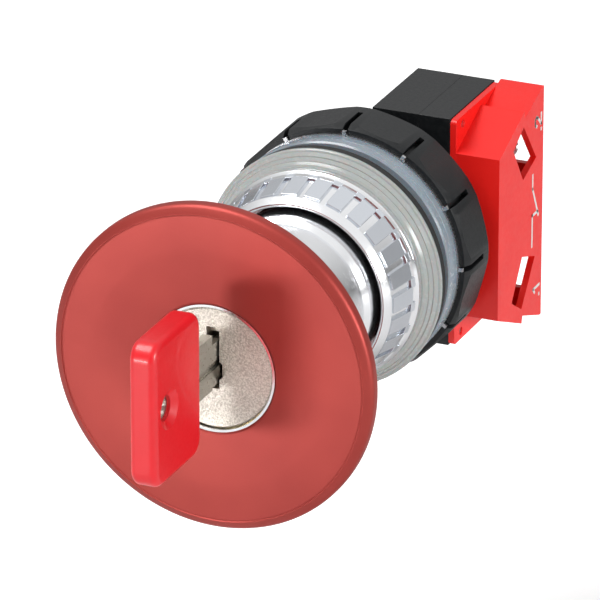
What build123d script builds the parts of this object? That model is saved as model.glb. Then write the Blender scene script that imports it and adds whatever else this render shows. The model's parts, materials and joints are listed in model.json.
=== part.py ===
"""Panel-mounted emergency stop button with a key release and one side contact block.

Millimetres. The axis of the button is Y: the head is at -Y, the panel's front face is Y = 0 and the
contact block is at +Y. +Z is up, and the origin is on the axis in the plane of the panel's front face.
"""

import os
from math import sqrt

from build123d import *

# ---------------------------------------------------------------- driving dimensions
head_r = 30.0                # mushroom head
head_front = -51.5           # front edge of the head's rim
head_dish = 0.5              # how far the face falls from the rim to the lock
head_bevel = 1.6             # bevel round the rim
head_rim = 3.2               # thickness of the rim
head_hub_back = -41.5        # rear of the head's hub
head_hub_r = 15.8
travel = 5.0                 # push stroke

stem_r = 14.6                # visible part of the stem
stem_collar_r = 15.5         # its collar inside the bezel
stem_collar_front = -18.6
stem_step = -12.6            # where the stem narrows to run in the barrel
stem_tube_wall = 3.0
stem_back = 4.0
stem_web = 2.4               # rear wall of the stem
stem_nose_r = 13.4           # nose that screws into the head
stem_nose_length = 6.0
collar_chamfer = 0.9

lock_r = 11.8                # hole in the head for the lock
sleeve_wall = 0.42
lock_face = -50.4            # front of the plug's disc
plug_disc = 2.0              # its thickness
plug_disc_r = 11.15
plug_r = 6.9
plug_back = -29.2
lock_barrel_back = -31.2
keyway_width = 2.4
keyway_height = 11.4
keyway_centre = 1.9          # the keyway sits above the axis
wafer_count = 5
wafer_pitch = 2.6
wafer_thickness = 0.8
wafer_half = 3.0             # half their width

key_thickness = 5.0          # bow
key_depth = 19.0
key_height = 26.6
key_front = -79.6
key_centre = 2.2
key_hole_r = 2.3
key_hole_from_front = 5.8
blade_thickness = 1.8
blade_tip = -33.0
key_turn_angle = 45.0

barrel_r = 15.0
barrel_wall = 2.75
barrel_front = -6.9
barrel_back = 18.2
thread_pitch = 1.5
thread_depth = 0.35
thread_start = 1.0
wiper_width = 1.8
wiper_ledge = 1.0            # wall of the barrel in front of the seal

bezel_front = -15.3
bezel_mouth = 1.3            # widths outside the barrel: the mouth,
bezel_chamfer = 3.0          # the outer edge of the front chamfer
bezel_flange = 4.9           # and the flange
bezel_band_front = -13.6
bezel_band_back = -6.6
bezel_flange_back = -4.8
bezel_teeth = 26
bezel_tooth_height = 0.55

front_gasket_width = 7.6     # widths of the rings outside the barrel
panel_gasket_width = 7.4
washer_width = 7.3
lock_washer_width = 7.2
panel_gasket_thickness = 1.9
panel_gap = 2.2              # space left for the panel
washer_thickness = 2.15      # each of the two plastic washers
washer_step = 0.25           # how much smaller the rear one is
washer_bevel = 0.3
lock_washer_thickness = 0.6
washer_lugs = 12
lug_reach = 0.75             # how far a lug stands out in its slot

nut_wall = 9.2               # from the barrel to the corners between the facets
nut_corner_trim = 0.4        # how much the corners are turned down
nut_width = 10.4
nut_facets = 12
nut_chamfer = 0.7
nut_slot_width = 1.0
nut_slot_length = 7.2
nut_slot_depth = 2.0

block_front = 21.7           # front of the black and red blocks
block_depth = 21.3
block_half_height = 22.0
black_left = -0.9
black_width = 15.05
carrier_width = 8.9          # from the left side to the joint with the cover
carrier_margin = 3.4         # from the long screws to the carrier's sides
carrier_half_height = 15.0
carrier_back = 33.0
carrier_edge_r = 2.5
screw_inset = 1.42           # from the barrel's outside to the axes of the two long screws
cover_screw_z = 17.0
ear_z = 20.2                 # pins that fix the contact block's plate
ear_setback = 3.2
ear_r = 0.75

red_plate = 1.2
red_body = 8.4
red_front_half_height = 15.6
red_step_y = 11.8            # rear edge of the first ramp, from the block's front
red_wall = 1.2
terminal_z = 12.5            # terminal screws above and below mid-height
screw_r = 1.5
strip_thickness = 0.8
tip_z = 6.4                  # silver tips of the fixed contacts

return_wire_r = 0.6
slider_wire_r = 0.35
contact_wire_r = 0.25

# ---------------------------------------------------------------- clearances
slip = 0.05                  # running fits, on the radius
seat = 0.02                  # fits that are assembled once
gap = 0.3                    # between pieces that pass each other

# ---------------------------------------------------------------- derived planes
bore_r = barrel_r - barrel_wall
stem_tube_r = bore_r - slip
carrier_screw_at = (barrel_r - screw_inset) / sqrt(2)   # left of the axis, and above or below it
carrier_left = -carrier_screw_at - carrier_margin
stem_cavity_r = stem_tube_r - stem_tube_wall
bezel_mouth_r = barrel_r + bezel_mouth
bezel_front_r = barrel_r + bezel_chamfer
bezel_flange_r = barrel_r + bezel_flange
front_gasket_r = barrel_r + front_gasket_width
panel_gasket_r = barrel_r + panel_gasket_width
washer_r = barrel_r + washer_width
lock_washer_r = barrel_r + lock_washer_width
nut_corner_r = barrel_r + nut_wall
nut_round_r = nut_corner_r - nut_corner_trim
gasket_front = bezel_flange_back
gasket_back = -panel_gasket_thickness
washer_front = panel_gap
nut_front = washer_front + 2 * washer_thickness + lock_washer_thickness
nut_back = nut_front + nut_width
block_back = block_front + block_depth
seam_x = black_left + carrier_width
red_left = black_left + black_width
red_inner = red_left + red_plate
red_right = red_inner + red_body
contact_x = (red_inner + red_right - red_wall) / 2
latch_y = -3.5               # plane of the latch cam and its pins
slider_front = barrel_back + 0.4


# ---------------------------------------------------------------- helpers
def outline(points, plane=Plane.XY):
    """A flat face bounded by straight edges."""
    with BuildSketch(plane) as sketch:
        with BuildLine():
            Polyline(*points, close=True)
        make_face()
    return sketch.sketch


def turned(points, mode=Mode.ADD):
    """A body of revolution about the button's axis, from (radius, y) points."""
    revolve(outline(points), axis=Axis.Y, mode=mode)


def tube(inner, outer, y0, y1, mode=Mode.ADD):
    turned([(inner, y0), (outer, y0), (outer, y1), (inner, y1)], mode)


def rod(r, y0, y1, x=0.0, z=0.0, mode=Mode.ADD):
    """A cylinder along Y."""
    with Locations((x, (y0 + y1) / 2, z)):
        Cylinder(r, y1 - y0, rotation=(90, 0, 0), mode=mode)


def rod_x(r, x0, x1, y, z, mode=Mode.ADD):
    """A cylinder along X."""
    with Locations(((x0 + x1) / 2, y, z)):
        Cylinder(r, x1 - x0, rotation=(0, 90, 0), mode=mode)


def rod_z(r, z0, z1, y, x=0.0, mode=Mode.ADD):
    """A cylinder along Z."""
    with Locations((x, y, (z0 + z1) / 2)):
        Cylinder(r, z1 - z0, mode=mode)


def block(x0, x1, y0, y1, z0, z1, mode=Mode.ADD):
    with Locations(((x0 + x1) / 2, (y0 + y1) / 2, (z0 + z1) / 2)):
        Box(x1 - x0, y1 - y0, z1 - z0, mode=mode)


def coil(mean_r, wire_r, y0, y1, turns, x=0.0, z=0.0):
    """A helical spring along Y between two planes."""
    height = y1 - y0 - 2 * wire_r
    with BuildPart() as spring:
        with BuildLine() as path:
            Helix(height / turns, height, mean_r)
        with BuildSketch(Plane(origin=path.line @ 0, z_dir=path.line % 0)):
            Circle(wire_r)
        sweep(path=path.line, is_frenet=True)
    placed = Pos(x, y0 + wire_r, z) * Rot(-90, 0, 0) * spring.part
    return placed


os.makedirs("parts", exist_ok=True)


def save(shape, name):
    shape.label = name
    export_step(shape, f"parts/{name}.step")


# ---------------------------------------------------------------- head and stem
rim_edge = 0.35              # small flat inside the rim's bevel
with BuildPart() as mushroom_head:
    back = head_front + head_rim
    socket_front = head_hub_back - stem_nose_length - 0.1
    turned([
        (lock_r, head_front + head_dish + 0.3),
        (lock_r + 0.4, head_front + head_dish),
        (head_r - head_bevel - rim_edge, head_front + 0.1),
        (head_r - head_bevel, head_front),
        (head_r - 0.5, head_front + 0.9),
        (head_r, head_front + head_bevel),
        (head_r, back - 0.7),
        (head_r - 0.7, back),
        (head_r - 2.2, back + 0.3),
        (head_hub_r + 3.5, back + 3.0),
        (head_hub_r, back + 5.6),
        (head_hub_r, head_hub_back - 0.5),
        (head_hub_r - 0.5, head_hub_back),
        (stem_nose_r + seat, head_hub_back),
        (stem_nose_r + seat, socket_front),
        (lock_r, socket_front),
    ])
save(mushroom_head.part, "mushroom_head")

rod_hole_r = 2.5
pin_r = 1.6
lock_rest = lock_barrel_back + 1.2   # shoulder behind the lock
with BuildPart() as stem:
    nose_front = head_hub_back - stem_nose_length
    turned([
        (lock_r, nose_front),
        (stem_nose_r, nose_front),
        (stem_nose_r, head_hub_back + seat),
        (stem_r, head_hub_back + seat),
        (stem_r, stem_collar_front),
        (stem_collar_r, stem_collar_front + collar_chamfer),
        (stem_collar_r, stem_step),
        (stem_tube_r, stem_step),
        (stem_tube_r, stem_back - 0.5),
        (stem_tube_r - 0.5, stem_back),
        (rod_hole_r, stem_back),
        (rod_hole_r, stem_back - stem_web),
        (stem_cavity_r, stem_back - stem_web),
        (stem_cavity_r, lock_rest),
        (lock_r, lock_rest),
    ])
    # holes for the latch pins
    rod_z(pin_r + slip, -stem_tube_r - 1, stem_tube_r + 1, latch_y, mode=Mode.SUBTRACT)
save(stem.part, "stem")

# ---------------------------------------------------------------- key lock
sleeve_front = head_front + 0.6
sleeve_r = lock_r - seat
with BuildPart() as lock_sleeve:
    tube(sleeve_r - sleeve_wall, sleeve_r, sleeve_front, lock_barrel_back)
save(lock_sleeve.part, "lock_sleeve")

barrel_in_sleeve = sleeve_r - sleeve_wall - seat
disc_back = lock_face + plug_disc
wafer_channel = 9.0          # half height of the channel for the tips of the wafers
with BuildPart() as lock_barrel:
    tube(plug_r + slip, barrel_in_sleeve, disc_back + gap, lock_barrel_back)
    block(-1.6, 1.6, disc_back + 2, lock_barrel_back, -wafer_channel, wafer_channel,
          mode=Mode.SUBTRACT)
save(lock_barrel.part, "lock_barrel")

keyway_low = keyway_centre - keyway_height / 2
keyway_high = keyway_centre + keyway_height / 2
shank_keyway_high = plug_r - 0.9
shank_keyway_low = -5.2
wafer_start = disc_back + 3.4
ward_r = 1.9
clip_groove_r = 5.6
clip_front, clip_back = plug_back - 1.5, plug_back - 0.6
tang_half_width = 1.0        # tang of the release shaft in the plug's rear slot
tang_half_height = 4.0
with BuildPart() as lock_plug:
    turned([(0, lock_face), (plug_disc_r - 0.3, lock_face), (plug_disc_r, lock_face + 0.3),
            (plug_disc_r, disc_back), (plug_r, disc_back), (plug_r, plug_back), (0, plug_back)])
    # keyway: a full-height slot with a wider rounded ward below the middle
    block(-keyway_width / 2, keyway_width / 2, lock_face - 1, disc_back,
          keyway_low, keyway_high, mode=Mode.SUBTRACT)
    rod(ward_r, lock_face - 1, lock_face + 1.2, 0.3, keyway_low + 3.4, mode=Mode.SUBTRACT)
    block(-keyway_width / 2, keyway_width / 2, disc_back - 0.1, blade_tip + 1,
          shank_keyway_low, shank_keyway_high, mode=Mode.SUBTRACT)
    # slots for the wafers
    for i in range(wafer_count):
        y = wafer_start + i * wafer_pitch
        block(-wafer_half - slip, wafer_half + slip, y - slip, y + wafer_thickness + slip,
              -plug_r - 1, plug_r + 1, mode=Mode.SUBTRACT)
    # groove for the retaining clip, and the slot that drives the release shaft
    tube(clip_groove_r, plug_r + 1, clip_front, clip_back, mode=Mode.SUBTRACT)
    block(-tang_half_width - seat, tang_half_width + seat, plug_back - 1.8, plug_back + 1,
          -tang_half_height - 0.2, tang_half_height + 0.2, mode=Mode.SUBTRACT)
save(lock_plug.part, "lock_plug")

wafer_hole = 1.3             # half width of the window the blade passes through
with BuildPart() as lock_wafers:
    for i in range(wafer_count):
        y = wafer_start + i * wafer_pitch
        block(-wafer_half, wafer_half, y, y + wafer_thickness, -5.6, 6.1)
        block(-wafer_hole, wafer_hole, y - 1, y + wafer_thickness + 1, -3.0, 5.6, mode=Mode.SUBTRACT)
save(lock_wafers.part, "lock_wafers")

with BuildPart() as plug_clip:
    tube(clip_groove_r + seat, plug_r + 1.5, clip_front + slip, clip_back - slip)
    block(-2.2, 2.2, plug_back - 2, plug_back, -9, 0, mode=Mode.SUBTRACT)
save(plug_clip.part, "plug_clip")

# ---------------------------------------------------------------- key
key_back = key_front + key_depth
key_hole_y = key_front + key_hole_from_front
key_radius = 3.2
key_edge = 1.3
dish_depth = 0.45            # dished edge of the ring hole
dish_width = 1.3
insert_half = 7.0            # metal of the key inside the bow
insert_front = key_front + 2.4
with BuildPart() as key_bow:
    with BuildSketch(Plane.YZ):
        with Locations((key_front + key_depth / 2, key_centre)):
            RectangleRounded(key_depth, key_height, key_radius)
    extrude(amount=key_thickness / 2, both=True)
    fillet(key_bow.edges().group_by(Axis.X)[0] + key_bow.edges().group_by(Axis.X)[-1], radius=key_edge)
    # pocket for the metal of the key, and the ring hole with its dished edge
    block(-blade_thickness / 2 - seat, blade_thickness / 2 + seat, insert_front, key_back + 1,
          key_centre - insert_half - seat, key_centre + insert_half + seat, mode=Mode.SUBTRACT)
    rod_x(key_hole_r, -key_thickness, key_thickness, key_hole_y, key_centre, mode=Mode.SUBTRACT)
    for side in (-1, 1):
        with Locations(Location((side * (key_thickness / 2 - dish_depth), key_hole_y, key_centre),
                                (0, side * 90, 0))):
            Cone(key_hole_r - 0.01, key_hole_r + dish_width, 2 * dish_depth + seat,
                 mode=Mode.SUBTRACT)
save(key_bow.part, "key_bow")

blade_low = -2.7             # lower and upper edges of the blade in the lock
blade_high = 5.2
shoulder_half = 5.1          # wider part between the bow and the lock
shoulder_back = lock_face - 2.2
with BuildPart() as key_blade:
    block(-blade_thickness / 2, blade_thickness / 2, insert_front + seat, key_back,
          key_centre - insert_half, key_centre + insert_half)
    block(-blade_thickness / 2, blade_thickness / 2, key_back - 1, shoulder_back,
          keyway_centre - shoulder_half, keyway_centre + shoulder_half)
    block(-blade_thickness / 2, blade_thickness / 2, shoulder_back - 1, blade_tip,
          blade_low, blade_high)
    # pointed tip, and the groove along one side
    for sign, z in ((-1, blade_low), (1, blade_high)):
        with BuildSketch(Plane.YZ):
            with BuildLine():
                Polyline((blade_tip + 0.1, z + sign * 0.1), (blade_tip + 0.1, z - sign * 2.6),
                         (blade_tip - 2.6, z + sign * 0.1), close=True)
            make_face()
        extrude(amount=blade_thickness, both=True, mode=Mode.SUBTRACT)
    block(blade_thickness / 2 - 0.5, blade_thickness, key_back - 0.5, blade_tip + 1, 0.4, 1.8,
          mode=Mode.SUBTRACT)
    # cuts for the wafers
    for i in range(wafer_count):
        y = wafer_start + i * wafer_pitch + wafer_thickness / 2
        depth = (0.4, 0.8, 0.3, 1.0, 0.6)[i % 5]
        block(-blade_thickness, blade_thickness, y - 0.6, y + 0.6,
              blade_high - depth, blade_high + 1, mode=Mode.SUBTRACT)
    rod_x(key_hole_r - 0.4, -key_thickness, key_thickness, key_hole_y, key_centre,
          mode=Mode.SUBTRACT)
save(key_blade.part, "key_blade")

# ---------------------------------------------------------------- release shaft, latch and push rod
cam_length = 3.0
cam_major = 6.0
cam_minor = 3.6
pin_start = cam_major + gap
pin_end = stem_tube_r - 0.1
shaft_r = 2.4
shaft_flat = 1.9             # from the axis to each of the two flats that drive the cam
cam_front = latch_y - cam_length / 2
with BuildPart() as release_shaft:
    block(-tang_half_width, tang_half_width, plug_back - 1.6, plug_back + 1,
          -tang_half_height, tang_half_height)
    rod(shaft_r, plug_back + 0.2, latch_y + cam_length / 2 + 1.2)
    for x0, x1 in ((-shaft_r - 1, -shaft_flat), (shaft_flat, shaft_r + 1)):
        block(x0, x1, cam_front, latch_y + cam_length, -shaft_r, shaft_r, mode=Mode.SUBTRACT)
save(release_shaft.part, "release_shaft")

with BuildPart() as latch_cam:
    with BuildSketch(Plane.XZ.offset(-cam_front)):
        Ellipse(cam_minor, cam_major)
    extrude(amount=-cam_length)
    with BuildSketch(Plane.XZ.offset(-cam_front)):
        Circle(shaft_r + seat)
        Rectangle(2 * (shaft_flat + seat), 4 * shaft_r, mode=Mode.INTERSECT)
    extrude(amount=-cam_length, mode=Mode.SUBTRACT)
save(latch_cam.part, "latch_cam")


def latch_pin(side):
    """A round pin with a domed inner end, above (side 1) or below (side -1) the cam."""
    with BuildPart() as pin:
        with BuildSketch(Plane.XZ):
            with BuildLine():
                Line((0, pin_start), (0, pin_end))
                Line((0, pin_end), (pin_r - 0.6, pin_end))
                Line((pin_r - 0.6, pin_end), (pin_r, pin_end - 0.6))
                Line((pin_r, pin_end - 0.6), (pin_r, pin_start + pin_r))
                RadiusArc((pin_r, pin_start + pin_r), (0, pin_start), pin_r)
            make_face()
        revolve(axis=Axis.Z)
    return Pos(0, latch_y, 0) * (Rot(180, 0, 0) * pin.part if side < 0 else pin.part)


save(latch_pin(1), "latch_pin_top")
save(latch_pin(-1), "latch_pin_bottom")

collar_r = 5.0               # collar of the push rod
with BuildPart() as push_rod:
    rod(rod_hole_r - seat, stem_back - stem_web, slider_front - gap)
    rod(collar_r, stem_back + seat, stem_back + 1.2)
save(push_rod.part, "push_rod")

# ---------------------------------------------------------------- threaded barrel and bezel
seat_y = 13.4                # front of the spring seat
boss_front = 14.4            # front of the carrier's round boss
wiper_back = barrel_front + wiper_width
wiper_r = barrel_r - wiper_ledge
screw_core_r = 0.93
with BuildPart() as barrel:
    teeth = int((barrel_back - 0.6 - thread_start) / thread_pitch)
    ridge = []
    for i in range(teeth):
        y = thread_start + i * thread_pitch
        ridge += [(barrel_r - thread_depth, y + 0.15), (barrel_r, y + 0.6),
                  (barrel_r, y + 0.85), (barrel_r - thread_depth, y + 1.3)]
    turned([(bore_r, wiper_back), (wiper_r, wiper_back), (wiper_r, barrel_front),
            (barrel_r, barrel_front), (barrel_r, thread_start)]
           + ridge
           + [(barrel_r - thread_depth, barrel_back), (bore_r, barrel_back)])
    # holes for the carrier's screws
    for z in (-carrier_screw_at, carrier_screw_at):
        rod(screw_core_r + seat, barrel_back - 5, barrel_back + 1, -carrier_screw_at, z,
            mode=Mode.SUBTRACT)
save(barrel.part, "barrel")

with BuildPart() as wiper_seal:
    lip = barrel_front + 0.1
    turned([(bore_r, lip), (bore_r + 0.85, lip), (bore_r + 1.05, lip + 0.5),
            (wiper_r - seat, lip + 0.5), (wiper_r - seat, wiper_back - seat),
            (bore_r, wiper_back - seat)])
save(wiper_seal.part, "wiper_seal")

band_front_r = bezel_front_r + 0.1
band_back_r = bezel_flange_r - 0.5
with BuildPart() as bezel:
    mouth_back = stem_step + travel + 0.4
    turned([
        (bezel_mouth_r, bezel_front + 0.3),
        (bezel_mouth_r + 0.3, bezel_front),
        (bezel_mouth_r + 0.7, bezel_front),
        (bezel_front_r - 0.15, bezel_band_front - 0.45),
        (bezel_front_r, bezel_band_front - 0.2),
        (band_front_r - bezel_tooth_height, bezel_band_front),
        (band_back_r - bezel_tooth_height, bezel_band_back),
        (bezel_flange_r, bezel_band_back + 0.2),
        (bezel_flange_r, bezel_flange_back),
        (barrel_r + seat, bezel_flange_back),
        (barrel_r + seat, mouth_back),
        (bezel_mouth_r, mouth_back),
    ])
    # raised teeth round the band, each a flat-topped block that follows the cone
    slope = (band_back_r - band_front_r) / (bezel_band_back - bezel_band_front)
    tooth = outline([
        (band_front_r - bezel_tooth_height - 0.3, bezel_band_front + 0.5),
        (band_front_r + slope * 0.5, bezel_band_front + 0.5),
        (band_back_r, bezel_band_back + 0.3),
        (band_front_r - bezel_tooth_height - 0.3, bezel_band_back + 0.3),
    ])
    half_tooth = 360 / bezel_teeth * 0.31
    for i in range(bezel_teeth):
        a = 360 / bezel_teeth * i
        revolve(Rot(0, a - half_tooth, 0) * tooth, axis=Axis.Y, revolution_arc=2 * half_tooth)
save(bezel.part, "bezel")

# ---------------------------------------------------------------- seals, washers and nut
ring_bore = barrel_r + seat
with BuildPart() as front_gasket:
    step = (gasket_back - gasket_front) / 4
    turned([
        (ring_bore, gasket_front + seat),
        (bezel_flange_r + 0.1, gasket_front + seat),
        (bezel_flange_r + 0.5, gasket_front + 0.25),
        (bezel_flange_r + 0.9, gasket_front + step),
        (bezel_flange_r + 1.1, gasket_front + step),
        (bezel_flange_r + 1.5, gasket_front + 2 * step),
        (bezel_flange_r + 1.75, gasket_front + 2 * step),
        (front_gasket_r - 0.5, gasket_front + 3 * step),
        (front_gasket_r - 0.2, gasket_front + 3 * step + 0.1),
        (front_gasket_r, gasket_front + 3.4 * step),
        (front_gasket_r, gasket_back),
        (ring_bore, gasket_back),
    ])
save(front_gasket.part, "front_gasket")

with BuildPart() as panel_gasket:
    tube(ring_bore, panel_gasket_r, gasket_back + seat, 0)
save(panel_gasket.part, "panel_gasket")


def washer(y, radius):
    """A flat plastic washer with a small bevel on both outer edges."""
    back = y + washer_thickness - seat
    with BuildPart() as ring:
        turned([(barrel_r + gap, y), (radius - washer_bevel, y), (radius, y + washer_bevel),
                (radius, back - washer_bevel), (radius - washer_bevel, back),
                (barrel_r + gap, back)])
    return ring.part


save(washer(washer_front, washer_r), "front_washer")
save(washer(washer_front + washer_thickness, washer_r - washer_step), "rear_washer")

lug_r = nut_corner_r - nut_slot_depth + lug_reach
with BuildPart() as lock_washer:
    lw_front = nut_front - lock_washer_thickness
    tube(barrel_r + gap, lock_washer_r, lw_front, nut_front - seat)
    for i in range(washer_lugs):
        with Locations(Location((0, lw_front, 0), (0, 360 / washer_lugs * i, 0))):
            with Locations((lock_washer_r - 1, 0, 0)):
                Box(lug_r - lock_washer_r + 1, lock_washer_thickness - seat,
                    nut_slot_width - 0.3, align=(Align.MIN, Align.MIN, Align.CENTER))
save(lock_washer.part, "lock_washer")

with BuildPart() as ring_nut:
    with BuildSketch(Plane.XZ.offset(-nut_front)):
        RegularPolygon(nut_corner_r, nut_facets)
    extrude(amount=-nut_width)
    # chamfered front and rear edges and trimmed corners, cut as one turned envelope
    turned([
        (0, nut_front),
        (nut_round_r - nut_chamfer, nut_front),
        (nut_round_r, nut_front + 2 * nut_chamfer),
        (nut_round_r, nut_back - nut_chamfer),
        (nut_round_r - nut_chamfer, nut_back),
        (0, nut_back),
    ], Mode.INTERSECT)
    rod(barrel_r + slip, nut_front - 1, nut_back + 1, mode=Mode.SUBTRACT)
    tube(0, barrel_r + 0.8, nut_front - 1, nut_front + 0.7, mode=Mode.SUBTRACT)
    for i in range(nut_facets):
        with Locations(Location((0, nut_front - 0.1, 0), (0, 360 / nut_facets * i, 0))):
            with Locations((nut_corner_r - nut_slot_depth, 0, 0)):
                Box(nut_slot_depth + 1, nut_slot_length + 0.1, nut_slot_width,
                    align=(Align.MIN, Align.MIN, Align.CENTER), mode=Mode.SUBTRACT)
save(ring_nut.part, "ring_nut")

# ---------------------------------------------------------------- return spring
boss_bore_r = 7.2            # hole through the spring seat and the carrier's boss
return_spring_r = stem_tube_r - 2.3
with BuildPart() as spring_seat:
    tube(boss_bore_r, stem_tube_r, seat_y, boss_front - seat)
save(spring_seat.part, "spring_seat")
save(coil(return_spring_r, return_wire_r, stem_back + seat, seat_y - seat, 3), "return_spring")

# ---------------------------------------------------------------- module carrier
beam_front = block_front + red_wall + 0.4
beam_back = beam_front + 2.4
slot_back = beam_back + travel + 0.4
slider_half = 3.0
slider_x0, slider_x1 = -4.5, contact_x + 2.0
slider_foot = 9.0
spring_x = 5.0
spring_hole_r = 3.2
spring_rest = block_back - 2.0
carrier_front = barrel_back + seat
screw_hole_r = 1.1
head_hole_r = 2.1
with BuildPart() as carrier:
    block(carrier_left, -carrier_left, carrier_front, block_front,
          -carrier_half_height, carrier_half_height)
    block(carrier_left, seam_x, block_front - 0.5, carrier_back,
          -carrier_half_height, carrier_half_height)
    block(black_left, seam_x, block_front, block_back, -block_half_height, block_half_height)
    fillet(carrier.edges().filter_by(Axis.Y).group_by(Axis.X)[0], radius=carrier_edge_r)
    tube(boss_bore_r, bore_r - seat, boss_front, carrier_front + 1)
    rod(boss_bore_r, boss_front - 1, carrier_front + 0.6, mode=Mode.SUBTRACT)
    # chamber of the slider, and the bore of its spring
    block(slider_x0 - gap, slider_x0 + slider_foot + gap, carrier_front - 1, slot_back,
          -slider_half - slip, slider_half + slip, mode=Mode.SUBTRACT)
    block(slider_x0 - gap, seam_x + 1, beam_front - gap, slot_back,
          -slider_half - slip, slider_half + slip, mode=Mode.SUBTRACT)
    rod(spring_hole_r, slot_back - 1, spring_rest, spring_x, mode=Mode.SUBTRACT)
    # screw holes: two long ones into the barrel, with deep head pockets
    for z in (-carrier_screw_at, carrier_screw_at):
        rod(screw_hole_r, carrier_front - 1, carrier_back + 1, -carrier_screw_at, z,
            mode=Mode.SUBTRACT)
        rod(head_hole_r, block_front + 2, carrier_back + 1, -carrier_screw_at, z,
            mode=Mode.SUBTRACT)
    for z in (-cover_screw_z, cover_screw_z):
        rod_x(screw_hole_r, 2.0, seam_x + 1, block_front + block_depth / 2, z,
              mode=Mode.SUBTRACT)
save(carrier.part, "carrier")

cover_screw_y = block_front + block_depth / 2
cover_head_r = 2.3
cover_head_depth = 2.0
ear_y = block_front + ear_setback
with BuildPart() as carrier_cover:
    block(seam_x + seat, red_left, block_front + seat, block_back,
          -block_half_height, block_half_height)
    block(seam_x - 1, red_left + 1, beam_front - gap, slot_back,
          -slider_half - slip, slider_half + slip, mode=Mode.SUBTRACT)
    for z in (-cover_screw_z, cover_screw_z):
        rod_x(screw_hole_r + 0.2, seam_x - 1, red_left + 1, cover_screw_y, z, mode=Mode.SUBTRACT)
        rod_x(cover_head_r + 0.1, red_left - cover_head_depth, red_left + 1, cover_screw_y, z,
              mode=Mode.SUBTRACT)
    for z in (-ear_z, ear_z):
        rod_x(ear_r + seat, red_left - 1.6, red_left + 1, ear_y, z, mode=Mode.SUBTRACT)
save(carrier_cover.part, "carrier_cover")


def slotted_head(r, y0, y1, x, z, slot=0.8):
    """A round screw head facing +Y with a straight slot."""
    rod(r, y0, y1, x, z)
    block(x - r - 1, x + r + 1, y1 - 0.9, y1 + 1, z - slot / 2, z + slot / 2, mode=Mode.SUBTRACT)


with BuildPart() as carrier_screws:
    for z in (-carrier_screw_at, carrier_screw_at):
        slotted_head(head_hole_r - 0.2, block_front + 2 + seat, block_front + 3.9,
                     -carrier_screw_at, z)
        rod(screw_core_r, barrel_back - 4.6, block_front + 2.5, -carrier_screw_at, z)
save(carrier_screws.part, "carrier_screws")

with BuildPart() as cover_screws:
    y = cover_screw_y
    for z in (-cover_screw_z, cover_screw_z):
        rod_x(cover_head_r, red_left - cover_head_depth + seat, red_left - 0.2, y, z)
        rod_x(screw_hole_r - seat, 3.0, red_left - 1.5, y, z)
        block(red_left - 1.0, red_left + 1, y - 3, y + 3, z - 0.35, z + 0.35, mode=Mode.SUBTRACT)
save(cover_screws.part, "cover_screws")

with BuildPart() as slider:
    block(slider_x0, slider_x0 + slider_foot, slider_front, beam_back, -slider_half, slider_half)
    block(slider_x0, slider_x1, beam_front, beam_back, -slider_half, slider_half)
    rod(1.2, beam_back - 0.5, beam_back + 4.8, spring_x)
save(slider.part, "slider")
save(coil(spring_hole_r - 1.0, slider_wire_r, beam_back + seat, spring_rest - seat, 7, spring_x),
     "slider_spring")

# ---------------------------------------------------------------- contact block
with BuildPart() as contact_plate:
    block(red_left + seat, red_inner, block_front, block_back - seat,
          -block_half_height + 0.2, block_half_height - 0.2)
    fillet(contact_plate.edges().filter_by(Axis.X), radius=0.8)
    block(red_left - 1, red_inner + 1, beam_front - gap, slot_back,
          -slider_half - slip, slider_half + slip, mode=Mode.SUBTRACT)
    for z in (-ear_z, ear_z):
        rod_x(ear_r + seat, red_left - 1, red_inner + 1, ear_y, z, mode=Mode.SUBTRACT)
save(contact_plate.part, "contact_plate")

with BuildPart() as ear_pins:
    for z in (-ear_z, ear_z):
        rod_x(ear_r, red_left - 1.5, red_inner - 0.35, ear_y, z)
save(ear_pins.part, "ear_pins")


def side_outline(points):
    """A face in the YZ plane, symmetric about mid-height; y is counted from the block's front."""
    upper = [(block_front + y, z) for y, z in points]
    lower = [(y, -z) for y, z in reversed(upper)]
    return outline(upper + lower, Plane.YZ)


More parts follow.
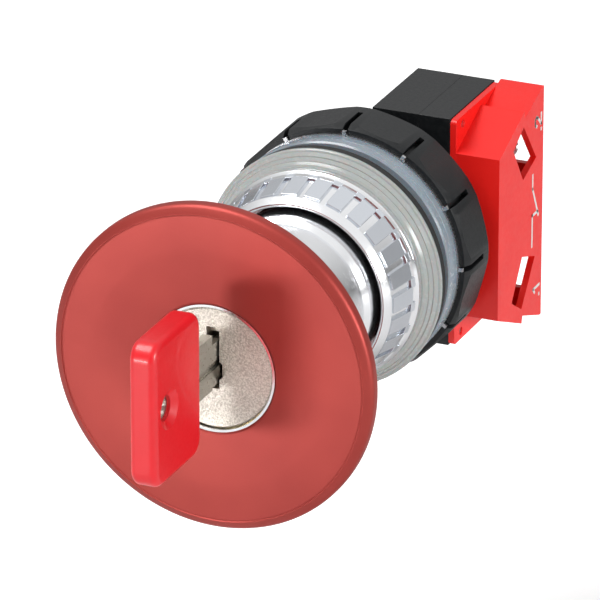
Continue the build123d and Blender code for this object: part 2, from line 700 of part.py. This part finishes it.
red_top = block_half_height + 0.4
ramp_top = red_top - 1.7     # rear edge of the first ramp
ramp_foot = red_top - 3.1    # front edge of the second ramp
pillar_top = 6.9             # pillars under the fixed contacts, from the block's front
tip_r = 1.4
yoke_half = 3.2              # half height of the yoke that carries the moving contact
with BuildPart() as contact_housing:
    outer = side_outline([(0, red_front_half_height), (red_step_y, ramp_top),
                          (red_step_y + 0.4, ramp_foot), (block_depth - 0.7, red_top),
                          (block_depth, red_top)])
    hollow = side_outline([(red_wall, red_front_half_height - red_wall),
                           (red_step_y - red_wall, ramp_foot - red_wall),
                           (red_step_y + 0.8, ramp_foot - red_wall),
                           (block_depth - 1.7, red_top - 1.8), (block_depth - red_wall, red_top - 1.8)])
    extrude(Pos(red_inner + seat, 0, 0) * outer, amount=red_body - seat, dir=(1, 0, 0))
    extrude(Pos(red_inner - 1, 0, 0) * hollow, amount=red_body - red_wall + 1, dir=(1, 0, 0),
            mode=Mode.SUBTRACT)
    # four-sided openings in the side wall, beside the two terminals
    window = [(6.7, 14.8), (11.6, 17.8), (17.9, 9.7), (11.6, 7.5)]
    for side in (-1, 1):
        shape = outline([(block_front + y, side * z) for y, z in window], Plane.YZ)
        extrude(Pos(red_right - red_wall - 0.1, 0, 0) * shape, amount=2, dir=(1, 0, 0),
                mode=Mode.SUBTRACT)
        # rear openings for the screwdriver and the wire
        z0, z1 = sorted((side * 7.2, side * 17.4))
        block(red_inner + 1.0, red_right - red_wall - 0.4, block_back - 2, block_back + 1, z0, z1,
              mode=Mode.SUBTRACT)
        # pillar under the fixed contact, and the rib that guides the contact carrier
        z0, z1 = sorted((side * 9.6, side * 14.2))
        block(red_inner + gap, red_right - red_wall, block_front + red_wall,
              block_front + pillar_top, z0, z1)
        z0, z1 = sorted((side * (yoke_half + slip), side * (yoke_half + 1.1)))
        block(red_inner + gap, red_right - red_wall, block_front + red_wall,
              block_front + pillar_top - 0.3, z0, z1)
        rod(screw_r + 0.2, block_front + 4.0, block_front + pillar_top + 0.1, contact_x,
            side * terminal_z, mode=Mode.SUBTRACT)
save(contact_housing.part, "contact_housing")

strip_front = block_front + pillar_top + seat
strip_back = strip_front + strip_thickness
tip_back = strip_back + 0.6
boss_back = strip_back + 2.0
strip_half = 2.4


def terminal(side):
    """Fixed contact strip with its silver tip and the boss its screw goes into."""
    with BuildPart() as piece:
        z0, z1 = sorted((side * 4.6, side * 15.2))
        block(contact_x - strip_half, contact_x + strip_half, strip_front, strip_back, z0, z1)
        rod(tip_r, strip_back, tip_back, contact_x, side * tip_z)
        rod(strip_half - slip, strip_back, boss_back, contact_x, side * terminal_z)
        rod(screw_r + seat, strip_front - 1, boss_back + 1, contact_x, side * terminal_z,
            mode=Mode.SUBTRACT)
    return piece.part


save(terminal(-1), "terminal_1")
save(terminal(1), "terminal_2")

saddle_front = boss_back + 1.8
saddle_back = saddle_front + 0.9
saddle_half = 2.6
with BuildPart() as clamp_saddles:
    for z in (-terminal_z, terminal_z):
        block(contact_x - saddle_half, contact_x + saddle_half, saddle_front, saddle_back,
              z - saddle_half, z + saddle_half)
        rod(screw_r + seat, saddle_front - 1, saddle_back + 1, contact_x, z, mode=Mode.SUBTRACT)
save(clamp_saddles.part, "clamp_saddles")

with BuildPart() as terminal_screws:
    for z in (-terminal_z, terminal_z):
        slotted_head(saddle_half - 0.1, saddle_back + seat, saddle_back + 2.4, contact_x, z)
        rod(screw_r, strip_front - 1.6, saddle_back + 1, contact_x, z)
save(terminal_screws.part, "terminal_screws")

tip_gap = 0.05               # between the closed contacts
bar_front = tip_back + tip_gap + 0.6
bar_back = bar_front + strip_thickness
bar_half = 1.8
with BuildPart() as moving_contact:
    block(contact_x - bar_half, contact_x + bar_half, bar_front, bar_back, -tip_z - 1.5, tip_z + 1.5)
    for z in (-tip_z, tip_z):
        rod(tip_r - 0.1, tip_back + tip_gap, bar_front, contact_x, z)
save(moving_contact.part, "moving_contact")

yoke_front = beam_back + gap
yoke_back = bar_back + 0.7
contact_spring_r = 2.0
with BuildPart() as contact_carrier:
    block(contact_x - saddle_half, contact_x + saddle_half, yoke_front, yoke_back,
          -yoke_half, yoke_half)
    rod(contact_spring_r - 0.9, yoke_back - 0.5, yoke_back + 1.6, contact_x)
    block(contact_x - bar_half - seat, contact_x + bar_half + seat, bar_front - seat,
          bar_back + seat, -yoke_half - 1, yoke_half + 1, mode=Mode.SUBTRACT)
save(contact_carrier.part, "contact_carrier")
save(coil(contact_spring_r, contact_wire_r, yoke_back + seat, block_back - red_wall - seat, 4,
          contact_x), "contact_spring")
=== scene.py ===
import json
import math

import bmesh
import bpy
from mathutils import Matrix, Vector

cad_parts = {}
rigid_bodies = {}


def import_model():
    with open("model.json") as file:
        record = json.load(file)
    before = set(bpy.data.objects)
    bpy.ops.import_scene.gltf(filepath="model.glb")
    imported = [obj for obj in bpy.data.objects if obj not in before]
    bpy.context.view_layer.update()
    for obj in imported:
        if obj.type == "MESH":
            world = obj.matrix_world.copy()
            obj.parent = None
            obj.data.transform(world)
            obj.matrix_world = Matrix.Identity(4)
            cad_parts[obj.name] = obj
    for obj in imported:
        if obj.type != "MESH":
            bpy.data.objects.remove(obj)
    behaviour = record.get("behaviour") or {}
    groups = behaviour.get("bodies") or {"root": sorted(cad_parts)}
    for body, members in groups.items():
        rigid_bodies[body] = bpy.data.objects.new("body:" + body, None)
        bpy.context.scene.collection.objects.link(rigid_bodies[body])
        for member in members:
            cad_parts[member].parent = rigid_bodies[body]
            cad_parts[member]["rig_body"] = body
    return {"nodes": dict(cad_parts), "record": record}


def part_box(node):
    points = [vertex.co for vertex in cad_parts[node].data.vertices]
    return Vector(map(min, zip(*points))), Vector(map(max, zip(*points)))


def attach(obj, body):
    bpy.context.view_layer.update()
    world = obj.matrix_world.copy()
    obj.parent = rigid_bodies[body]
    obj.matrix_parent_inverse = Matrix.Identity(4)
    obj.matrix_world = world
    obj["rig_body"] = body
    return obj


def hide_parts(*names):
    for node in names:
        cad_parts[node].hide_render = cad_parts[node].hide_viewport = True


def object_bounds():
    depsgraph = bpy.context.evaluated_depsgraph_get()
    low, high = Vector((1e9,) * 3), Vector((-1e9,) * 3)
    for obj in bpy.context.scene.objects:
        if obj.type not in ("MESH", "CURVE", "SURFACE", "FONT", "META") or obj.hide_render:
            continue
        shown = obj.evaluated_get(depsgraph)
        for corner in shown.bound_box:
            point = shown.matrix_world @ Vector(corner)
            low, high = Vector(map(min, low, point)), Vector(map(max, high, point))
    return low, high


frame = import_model()
cad_box = [list(map(float, corner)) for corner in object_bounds()]

MM = 0.001
SHARP = 30               # degrees, above which an edge between two faces is shaded sharp
FLAT = 0.6               # degrees, below which two CAD triangles are one flat face
LATHE_STEPS = 192        # round the axis
CORNER_STEPS = 4         # in a rounded corner of a profile
nodes = frame["nodes"]
slots = {part["node"]: part["material_slot"] for part in frame["record"]["subparts"]}


# ------------------------------------------------------------------ mesh tools
def add_piece(name, bm, body, material, sharp=SHARP):
    """Turns a bmesh in metres into a smooth object that rides on a CAD body."""
    mesh = bpy.data.meshes.new(name)
    bm.to_mesh(mesh)
    bm.free()
    for polygon in mesh.polygons:
        polygon.use_smooth = True
    mesh.set_sharp_from_angle(angle=math.radians(sharp))
    mesh.materials.append(material)
    piece = bpy.data.objects.new(name, mesh)
    bpy.context.scene.collection.objects.link(piece)
    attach(piece, body)
    return piece


def finish_mesh(name, bm, body, material, sharp=SHARP):
    """Closes a bmesh that was built in millimetres and makes a piece of it."""
    bmesh.ops.recalc_face_normals(bm, faces=bm.faces)
    bmesh.ops.scale(bm, vec=(MM, MM, MM), verts=bm.verts)
    return add_piece(name, bm, body, material, sharp)


def round_edges(piece, width, segments):
    """Rounds over a piece's edges, to a width in millimetres."""
    bevel = piece.modifiers.new("edge", "BEVEL")
    bevel.width = width * MM
    bevel.segments = segments
    bevel.limit_method = "ANGLE"
    bevel.angle_limit = math.radians(SHARP)
    bevel.harden_normals = True


def rounded_copy(node, width, material):
    """A CAD node's own shape with its flat faces merged and its edges rounded over."""
    source = nodes[node]
    bm = bmesh.new()
    bm.from_mesh(source.data)
    bmesh.ops.remove_doubles(bm, verts=bm.verts, dist=1e-6)
    bmesh.ops.dissolve_limit(bm, angle_limit=math.radians(FLAT), verts=bm.verts, edges=bm.edges)
    piece = add_piece(node + "_rounded", bm, source["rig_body"], material)
    round_edges(piece, width, 3)
    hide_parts(node)


def round_profile(points):
    """(r, y, radius) corners; each corner with a radius becomes a short arc."""
    out = []
    for i, point in enumerate(points):
        radius = point[2] if len(point) > 2 else 0
        here = Vector(point[:2])
        if not radius:
            out.append(here)
            continue
        before = Vector(points[i - 1][:2]) - here
        after = Vector(points[(i + 1) % len(points)][:2]) - here
        half = before.angle(after) / 2
        reach = min(radius / math.tan(half), before.length * 0.49, after.length * 0.49)
        a = here + before.normalized() * reach
        b = here + after.normalized() * reach
        for k in range(CORNER_STEPS + 1):
            t = k / CORNER_STEPS
            out.append(a * (1 - t) ** 2 + here * 2 * t * (1 - t) + b * t * t)
    return out


def lathe(name, points, body, material, sharp=SHARP):
    """A closed ring turned about the Y axis from (r, y[, corner radius]) points."""
    profile = round_profile(points)
    bm = bmesh.new()
    rings = []
    for k in range(LATHE_STEPS):
        a = 2 * math.pi * k / LATHE_STEPS
        rings.append([bm.verts.new((p.x * math.cos(a), p.y, p.x * math.sin(a)))
                      for p in profile])
    for k, one in enumerate(rings):
        two = rings[(k + 1) % LATHE_STEPS]
        for i in range(len(profile)):
            j = (i + 1) % len(profile)
            bm.faces.new((one[i], one[j], two[j], two[i]))
    return finish_mesh(name, bm, body, material, sharp)


# ------------------------------------------------------------------ shader tools
def map_range(tree, value, low, high, start=0.0, end=1.0):
    """A value between start and end, turned into one between low and high."""
    node = tree.nodes.new("ShaderNodeMapRange")
    for socket, number in (("From Min", start), ("From Max", end),
                           ("To Min", low), ("To Max", high)):
        node.inputs[socket].default_value = number
    tree.links.new(value, node.inputs["Value"])
    return node.outputs["Result"]


def calculate(tree, operation, *values):
    node = tree.nodes.new("ShaderNodeMath")
    node.operation = operation
    for value, socket in zip(values, node.inputs):
        tree.links.new(value, socket)
    return node.outputs[0]


def ray(tree, kind):
    return tree.nodes.new("ShaderNodeLightPath").outputs[kind]


def seen_direct(tree):
    """1 for rays that come straight from the camera, or through a clear piece."""
    return calculate(tree, "MAXIMUM", ray(tree, "Is Camera Ray"),
                     ray(tree, "Is Transmission Ray"))


class Shader:
    """A Principled material with procedural colour, roughness and relief."""

    def __init__(self, name, colour, rough, metal, sockets=()):
        self.mat = bpy.data.materials.new(name)
        self.mat.use_nodes = True
        self.tree = self.mat.node_tree
        self.bsdf = self.tree.nodes["Principled BSDF"]
        self.bsdf.inputs["Base Color"].default_value = (*colour, 1)
        self.bsdf.inputs["Roughness"].default_value = rough
        self.bsdf.inputs["Metallic"].default_value = metal
        for socket, value in dict(sockets).items():
            self.bsdf.inputs[socket].default_value = value
        self.coords = self.tree.nodes.new("ShaderNodeTexCoord").outputs["Object"]
        self.height = None

    def node(self, kind, **props):
        node = self.tree.nodes.new(kind)
        for key, value in props.items():
            setattr(node, key, value)
        return node

    def link(self, a, b):
        self.tree.links.new(a, b)

    def noise(self, per_mm, detail):
        """Noise with about per_mm cells to the millimetre."""
        n = self.node("ShaderNodeTexNoise")
        n.inputs["Scale"].default_value = per_mm * 1000
        n.inputs["Detail"].default_value = detail
        n.inputs["Roughness"].default_value = 0.55
        self.link(self.coords, n.inputs["Vector"])
        return n.outputs["Fac"]

    def lines(self, per_mm):
        """Rings about the button's axis, as a lathe leaves them: 0 to 1."""
        place = self.node("ShaderNodeSeparateXYZ")
        self.link(self.coords, place.inputs["Vector"])
        flat = self.node("ShaderNodeCombineXYZ")
        self.link(place.outputs["X"], flat.inputs["X"])
        self.link(place.outputs["Z"], flat.inputs["Z"])
        radius = self.node("ShaderNodeVectorMath", operation="LENGTH")
        self.link(flat.outputs["Vector"], radius.inputs[0])
        line = self.node("ShaderNodeCombineXYZ")
        self.link(radius.outputs["Value"], line.inputs["X"])
        self.link(place.outputs["Y"], line.inputs["Y"])
        n = self.node("ShaderNodeTexNoise")
        n.inputs["Scale"].default_value = per_mm * 1000
        n.inputs["Detail"].default_value = 2.0
        self.link(line.outputs["Vector"], n.inputs["Vector"])
        return n.outputs["Fac"]

    def roughen(self, value, low, high):
        self.link(map_range(self.tree, value, low, high, 0.3, 0.7), self.bsdf.inputs["Roughness"])

    def tint(self, value, one, two, start=0.3, end=0.7):
        mix = self.node("ShaderNodeMix", data_type="RGBA")
        self.link(map_range(self.tree, value, 0, 1, start, end), mix.inputs["Factor"])
        mix.inputs["A"].default_value = (*one, 1)
        mix.inputs["B"].default_value = (*two, 1)
        self.link(mix.outputs["Result"], self.bsdf.inputs["Base Color"])

    def bump(self, value, depth_mm):
        bump = self.node("ShaderNodeBump")
        bump.inputs["Distance"].default_value = depth_mm * MM
        bump.inputs["Strength"].default_value = 1.0
        self.link(value, bump.inputs["Height"])
        if self.height:
            self.link(self.height, bump.inputs["Normal"])
        self.height = bump.outputs["Normal"]
        self.link(self.height, self.bsdf.inputs["Normal"])


# ------------------------------------------------------------------ materials
# base: name, colour, roughness, metallic and any other sockets
# tint: noise cells per mm, noise detail, the two colours and the noise values they start at
# gloss: noise cells per mm, noise detail, lowest and highest roughness
# grain: noise cells per mm, noise detail, depth in mm
# lines: turned lines per mm, depth in mm
FINISHES = {
    "red_aluminium": dict(
        base=("red_anodised", (0.35, 0.038, 0.029), 0.38, 0.5),
        tint=(0.05, 2, (0.32, 0.033, 0.026), (0.39, 0.046, 0.036)),
        gloss=(3.0, 4, 0.38, 0.47), grain=(9.0, 2, 0.012), lines=(7, 0.006)),
    "chrome": dict(
        base=("polished_chrome", (0.90, 0.91, 0.93), 0.16, 1.0),
        gloss=(1.5, 4, 0.15, 0.22), grain=(0.25, 2, 0.02)),
    # the tiles' chrome: the same metal, made darker and bluer than the body's chrome as a painted
    # reflection tone
    "chrome_band": dict(
        base=("chrome_tiles_painted_reflection", (0.70, 0.73, 0.78), 0.14, 1.0),
        gloss=(1.5, 4, 0.12, 0.20), grain=(0.25, 2, 0.02)),
    "satin_nickel": dict(
        base=("satin_nickel", (0.70, 0.65, 0.58), 0.4, 1.0),
        tint=(3.2, 2, (0.55, 0.50, 0.43), (0.86, 0.81, 0.73), 0.35, 0.65),
        gloss=(4.0, 3, 0.28, 0.42), grain=(3.2, 2, 0.22)),
    "steel": dict(
        base=("bright_steel", (0.63, 0.63, 0.64), 0.3, 1.0),
        gloss=(2.0, 4, 0.22, 0.38), grain=(5, 2, 0.01)),
    "spring_steel": dict(
        base=("spring_wire", (0.45, 0.45, 0.46), 0.3, 1.0),
        gloss=(3.0, 4, 0.25, 0.4)),
    "brass": dict(
        base=("machined_brass", (0.76, 0.58, 0.28), 0.3, 1.0),
        gloss=(2.0, 4, 0.24, 0.38), grain=(5, 2, 0.01)),
    "nickel_silver": dict(
        base=("nickel_silver", (0.50, 0.49, 0.45), 0.3, 1.0),
        gloss=(2.0, 4, 0.24, 0.4), grain=(4, 2, 0.012)),
    "red_plastic": dict(
        base=("red_moulded", (0.92, 0.014, 0.010), 0.40, 0.0),
        tint=(0.08, 2, (0.88, 0.012, 0.009), (0.95, 0.017, 0.012)),
        gloss=(1.2, 3, 0.33, 0.43), grain=(2.5, 3, 0.01)),
    "red_key_plastic": dict(
        base=("red_key_moulded", (0.74, 0.008, 0.016), 0.34, 0.0, {"Coat Weight": 0.15}),
        tint=(0.1, 2, (0.72, 0.007, 0.014), (0.78, 0.010, 0.018)),
        gloss=(1.5, 3, 0.30, 0.40), grain=(1.2, 3, 0.012)),
    "black_plastic": dict(
        base=("black_moulded", (0.006, 0.007, 0.008), 0.42, 0.0, {"Specular IOR Level": 0.35}),
        tint=(1.5, 4, (0.005, 0.006, 0.007), (0.010, 0.011, 0.012)),
        gloss=(1.5, 4, 0.34, 0.46), grain=(4.0, 3, 0.02)),
    "black_rubber": dict(
        base=("black_rubber", (0.010, 0.010, 0.010), 0.7, 0.0),
        gloss=(2, 3, 0.6, 0.8), grain=(4.0, 3, 0.02)),
    "clear_gasket": dict(
        base=("clear_gasket", (0.40, 0.42, 0.41), 0.30, 0.0, {
            "IOR": 1.42, "Coat Weight": 0.25, "Coat Roughness": 0.12,
            "Subsurface Weight": 0.35, "Subsurface Scale": 0.002}),
        gloss=(1.0, 3, 0.20, 0.30), lines=(0.8, 0.012)),
    "clear_washer": dict(
        base=("clear_washer", (0.27, 0.32, 0.37), 0.3, 0.0, {
            "IOR": 1.45, "Coat Weight": 0.4, "Coat Roughness": 0.12,
            "Subsurface Weight": 0.35, "Subsurface Scale": 0.002}),
        gloss=(1.0, 3, 0.20, 0.30), lines=(1.2, 0.015)),
    "white_plastic": dict(
        base=("white_moulded", (0.75, 0.75, 0.71), 0.45, 0.0),
        gloss=(1.5, 3, 0.4, 0.5), grain=(3.0, 3, 0.01)),
    "sign_ink": dict(
        base=("sign_ink", (0.80, 0.78, 0.76), 0.5, 0.0),
        tint=(4.0, 3, (0.74, 0.72, 0.70), (0.84, 0.82, 0.80)), grain=(6.0, 2, 0.004)),
}


def make_material(base, tint=None, gloss=None, grain=None, lines=None):
    shader = Shader(*base)
    if tint:
        shader.tint(shader.noise(*tint[:2]), *tint[2:])
    if gloss:
        shader.roughen(shader.noise(*gloss[:2]), *gloss[2:])
    if grain:
        shader.bump(shader.noise(*grain[:2]), grain[2])
    if lines:
        shader.bump(shader.lines(lines[0]), lines[1])
    return shader.mat


materials = {name: make_material(**finish) for name, finish in FINISHES.items()}
for name, node in nodes.items():
    if node.material_slots:
        for slot in node.material_slots:
            slot.material = materials[slots[name]]
    else:
        node.data.materials.append(materials[slots[name]])

# ------------------------------------------------------------------ rounded copies
for name, width in (("ring_nut", 0.25), ("carrier", 0.2), ("carrier_cover", 0.2),
                    ("contact_plate", 0.15), ("contact_housing", 0.2)):
    rounded_copy(name, width, materials[slots[name]])

# ------------------------------------------------------------------ head
HUB_R = 15.8             # the neck behind the head's disc
BORE_R = 13.42           # the neck's bore, on the stem
BORE_DEPTH = 6.1
head_low, head_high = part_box("mushroom_head")
front, back_y, head_r = head_low.y / MM, head_high.y / MM, head_high.x / MM
hole_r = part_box("lock_sleeve")[1].x / MM + 0.02
head = lathe("head_rim_and_dish", [
    # the edge round the lock, and the shallow dish of the face
    (hole_r, front + 0.8), (hole_r + 0.4, front + 0.5, 0.2), (22.0, front + 0.16, 8.0),
    # the fine groove that frames the face
    (head_r - 2.0, front + 0.10, 0.2), (head_r - 1.8, front + 0.18, 0.1),
    (head_r - 1.65, front, 0.12),
    # the rolled edge
    (head_r, front + 0.9, 1.2), (head_r, front + 3.0, 0.5), (head_r - 2.2, front + 3.4, 0.8),
    # the cone and the neck behind it
    (19.3, front + 6.2, 3.0), (HUB_R, front + 8.8, 0.6), (HUB_R, back_y, 0.4),
    (BORE_R, back_y), (BORE_R, back_y - BORE_DEPTH), (hole_r, back_y - BORE_DEPTH)],
    nodes["mushroom_head"]["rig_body"], materials["red_aluminium"], sharp=40)
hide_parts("mushroom_head")

# ------------------------------------------------------------------ bezel
MOUTH_R = 16.3           # the bezel's open mouth round the stem
SEAT_DEPTH = 2.4         # of the smaller bore that sits on the barrel
TILES = 26               # raised tiles round the band, with a merlon between each two
bezel_low, bezel_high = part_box("bezel")
lip_y, base_y, flange_r = bezel_low.y / MM, bezel_high.y / MM, bezel_high.x / MM
seat_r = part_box("barrel")[1].x / MM + 0.02
bezel_cad_body = nodes["bezel"]["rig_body"]
bezel = lathe("bezel_body", [
    # the lip and the plain step behind it
    (MOUTH_R, lip_y + 0.3, 0.2), (16.7, lip_y, 0.15), (17.0, lip_y, 0.2),
    (17.85, lip_y + 1.25, 0.15), (18.0, lip_y + 1.5, 0.15), (17.45, lip_y + 1.75, 0.1),
    # the band under the tiles, and the flange
    (18.7, base_y - 2.0, 0.1), (flange_r - 0.5, base_y - 1.75, 0.15),
    (flange_r, base_y - 1.4, 0.25), (flange_r, base_y, 0.15),
    # the bores
    (seat_r, base_y), (seat_r, base_y - SEAT_DEPTH), (MOUTH_R, base_y - SEAT_DEPTH)],
    bezel_cad_body, materials["chrome"])
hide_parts("bezel")


def facet_block(bm, middle, half, front, rear, depth):
    """A block with a flat top between two (r, y) stations of the band."""
    corners = []
    for angle in (middle - half, middle + half):
        for r, y in (front, rear):
            for inner in (0, depth):
                corners.append(bm.verts.new(((r - inner) * math.cos(angle), y,
                                             (r - inner) * math.sin(angle))))
    a, b, c, d, e, f, g, h = corners
    for quad in ((a, c, g, e), (b, f, h, d), (a, b, d, c), (e, g, h, f), (a, e, f, b),
                 (c, d, h, g)):
        bm.faces.new(quad)


bm = bmesh.new()
half_pitch = math.pi / TILES
for k in range(TILES):
    turn = 2 * math.pi * k / TILES
    facet_block(bm, turn, half_pitch * 0.70, (18.1, lip_y + 2.3), (19.25, base_y - 2.3), 1.1)
    facet_block(bm, turn + half_pitch, half_pitch * 0.38, (19.15, base_y - 2.7),
                (19.5, base_y - 1.7), 0.8)
# the tiles take the darker, bluer chrome, whose colour is a painted reflection tone
tiles = finish_mesh("bezel_tiles", bm, bezel_cad_body, materials["chrome_band"])
round_edges(tiles, 0.12, 2)

# ------------------------------------------------------------------ printed signs
STROKE = 0.56
side_low, side_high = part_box("contact_housing")
side_x, side_front_y = side_high.x / MM + 0.02, side_low.y / MM
# lines on the side face, through (depth from the front, z) points
SIGNS = {
    "contact_sign": (
        [(16.3, 6.7), (16.3, 4.0), (19.2, -2.0)],
        [(16.3, -7.2), (16.3, -1.2), (18.9, -1.2)]),
    "terminal_sign_2": (
        [(17.9, 15.6), (17.35, 15.9), (17.15, 16.5), (17.3, 17.1), (17.8, 17.4), (18.4, 17.1),
         (20.1, 15.5), (20.1, 17.5)],
        [(20.1, 14.4), (20.1, 14.5)]),
    "terminal_sign_1": (
        [(17.9, -16.9), (17.2, -16.1), (20.1, -16.1)],
        [(20.1, -18.0), (20.1, -17.9)]),
}


def stroke(bm, a, b):
    """A thin printed bar on the side face between two points."""
    a, b = Vector(a), Vector(b)
    along = (b - a).normalized() * STROKE / 2
    across = Vector((-along.y, along.x))
    corners = [a - along + across, a - along - across, b + along - across, b + along + across]
    under, top = [[bm.verts.new((x, side_front_y + c.x, c.y)) for c in corners]
                  for x in (side_x - 0.01, side_x + 0.02)]
    bm.faces.new(under)
    bm.faces.new(top[::-1])
    for i in range(4):
        j = (i + 1) % 4
        bm.faces.new((under[i], under[j], top[j], top[i]))


for name, lines in SIGNS.items():
    bm = bmesh.new()
    for points in lines:
        for a, b in zip(points, points[1:]):
            stroke(bm, a, b)
    finish_mesh(name, bm, nodes["contact_housing"]["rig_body"], materials["sign_ink"])

# ------------------------------------------------------------------ camera
AZIMUTH, ELEVATION = math.radians(23.5), math.radians(23.0)
DISTANCE = 1.16          # metres
PX_PER_M = 5833.0        # at that distance
IMAGE_PX = 600
SENSOR = 36.0
AIM_RIGHT_PX, AIM_UP_PX = 89.6, 70.0      # from the middle of the head's face
right = Vector((math.cos(AZIMUTH), math.sin(AZIMUTH), 0))
back = Vector((math.sin(AZIMUTH) * math.cos(ELEVATION),
               -math.cos(AZIMUTH) * math.cos(ELEVATION), math.sin(ELEVATION)))
up = back.cross(right)
target = (Vector((0, head_low.y, 0)) + right * (AIM_RIGHT_PX / PX_PER_M)
          + up * (AIM_UP_PX / PX_PER_M))
camera_data = bpy.data.cameras.new("camera")
camera_data.sensor_width = SENSOR
camera_data.lens = PX_PER_M * DISTANCE / IMAGE_PX * SENSOR
camera_data.clip_start, camera_data.clip_end = 0.05, 20
camera = bpy.data.objects.new("camera", camera_data)
camera.matrix_world = Matrix.Translation(target + back * DISTANCE) @ Matrix(
    (right, up, back)).transposed().to_4x4()
bpy.context.scene.collection.objects.link(camera)
bpy.context.scene.camera = camera

# ------------------------------------------------------------------ lamps
MIDDLE = (0.0, -0.02, 0.0)
# name, place, what it points at, diameter in metres, watts
LAMPS = (("top_left", (-0.40, -0.30, 0.90), MIDDLE, 0.6, 8.5),
         ("front_left", (-0.23, -0.52, -0.066), (0, -0.05, 0), 0.13, 1.5),
         ("right", (0.9, -0.30, 0.25), MIDDLE, 0.35, 6.0))
for name, place, aim, size, power in LAMPS:
    data = bpy.data.lights.new(name, "AREA")
    data.shape = "DISK"
    data.size = size
    data.energy = power
    lamp = bpy.data.objects.new(name, data)
    lamp.location = place
    lamp.rotation_euler = (Vector(aim) - Vector(place)).to_track_quat("-Z", "Y").to_euler()
    bpy.context.scene.collection.objects.link(lamp)

# ------------------------------------------------------------------ floor
FLOOR_HALF = 6.0         # metres
FLOOR_GAP = 0.05         # under the object, which hangs on its panel
floor_z = cad_box[0][2] - FLOOR_GAP
floor_mesh = bpy.data.meshes.new("floor")
floor_mesh.from_pydata([(x * FLOOR_HALF, y * FLOOR_HALF, floor_z)
                        for x, y in ((-1, -1), (1, -1), (1, 1), (-1, 1))], [], [(0, 1, 2, 3)])
floor = bpy.data.objects.new("floor", floor_mesh)
bpy.context.scene.collection.objects.link(floor)
floor_white = Shader("floor_white", (0.8, 0.8, 0.8), 0.9, 0.0)
tree = floor_white.tree
# the floor glows to white, a little less near the object, so that it keeps a shadow there
reach = floor_white.node("ShaderNodeVectorMath", operation="LENGTH")
floor_white.link(floor_white.coords, reach.inputs[0])
glow = tree.nodes.new("ShaderNodeEmission")
glow.inputs["Color"].default_value = (1, 1, 1, 1)
floor_white.link(calculate(tree, "MULTIPLY", seen_direct(tree),
                           map_range(tree, reach.outputs["Value"], 0.62, 1.0, 0.25, 0.9)),
                 glow.inputs["Strength"])
both = tree.nodes.new("ShaderNodeAddShader")
floor_white.link(floor_white.bsdf.outputs[0], both.inputs[0])
floor_white.link(glow.outputs[0], both.inputs[1])
floor_white.link(both.outputs[0], tree.nodes["Material Output"].inputs["Surface"])
floor_mesh.materials.append(floor_white.mat)

# ------------------------------------------------------------------ world
world = bpy.data.worlds.new("world")
bpy.context.scene.world = world
world.use_nodes = True
tree = world.node_tree
background = tree.nodes["Background"]
background.inputs["Color"].default_value = (1, 1, 1, 1)
direction = tree.nodes.new("ShaderNodeSeparateXYZ")
tree.links.new(tree.nodes.new("ShaderNodeTexCoord").outputs["Generated"],
               direction.inputs["Vector"])
# white to the camera, dim as a light, and in reflections brighter towards the top
level = map_range(tree, seen_direct(tree), 0.16, 1.0)
fade = map_range(tree, direction.outputs["Z"], 0.12, 0.75, 0.0, 0.7)
tree.links.new(calculate(tree, "MULTIPLY_ADD", ray(tree, "Is Glossy Ray"), fade, level),
               background.inputs["Strength"])

bpy.context.scene.view_settings.view_transform = "Standard"
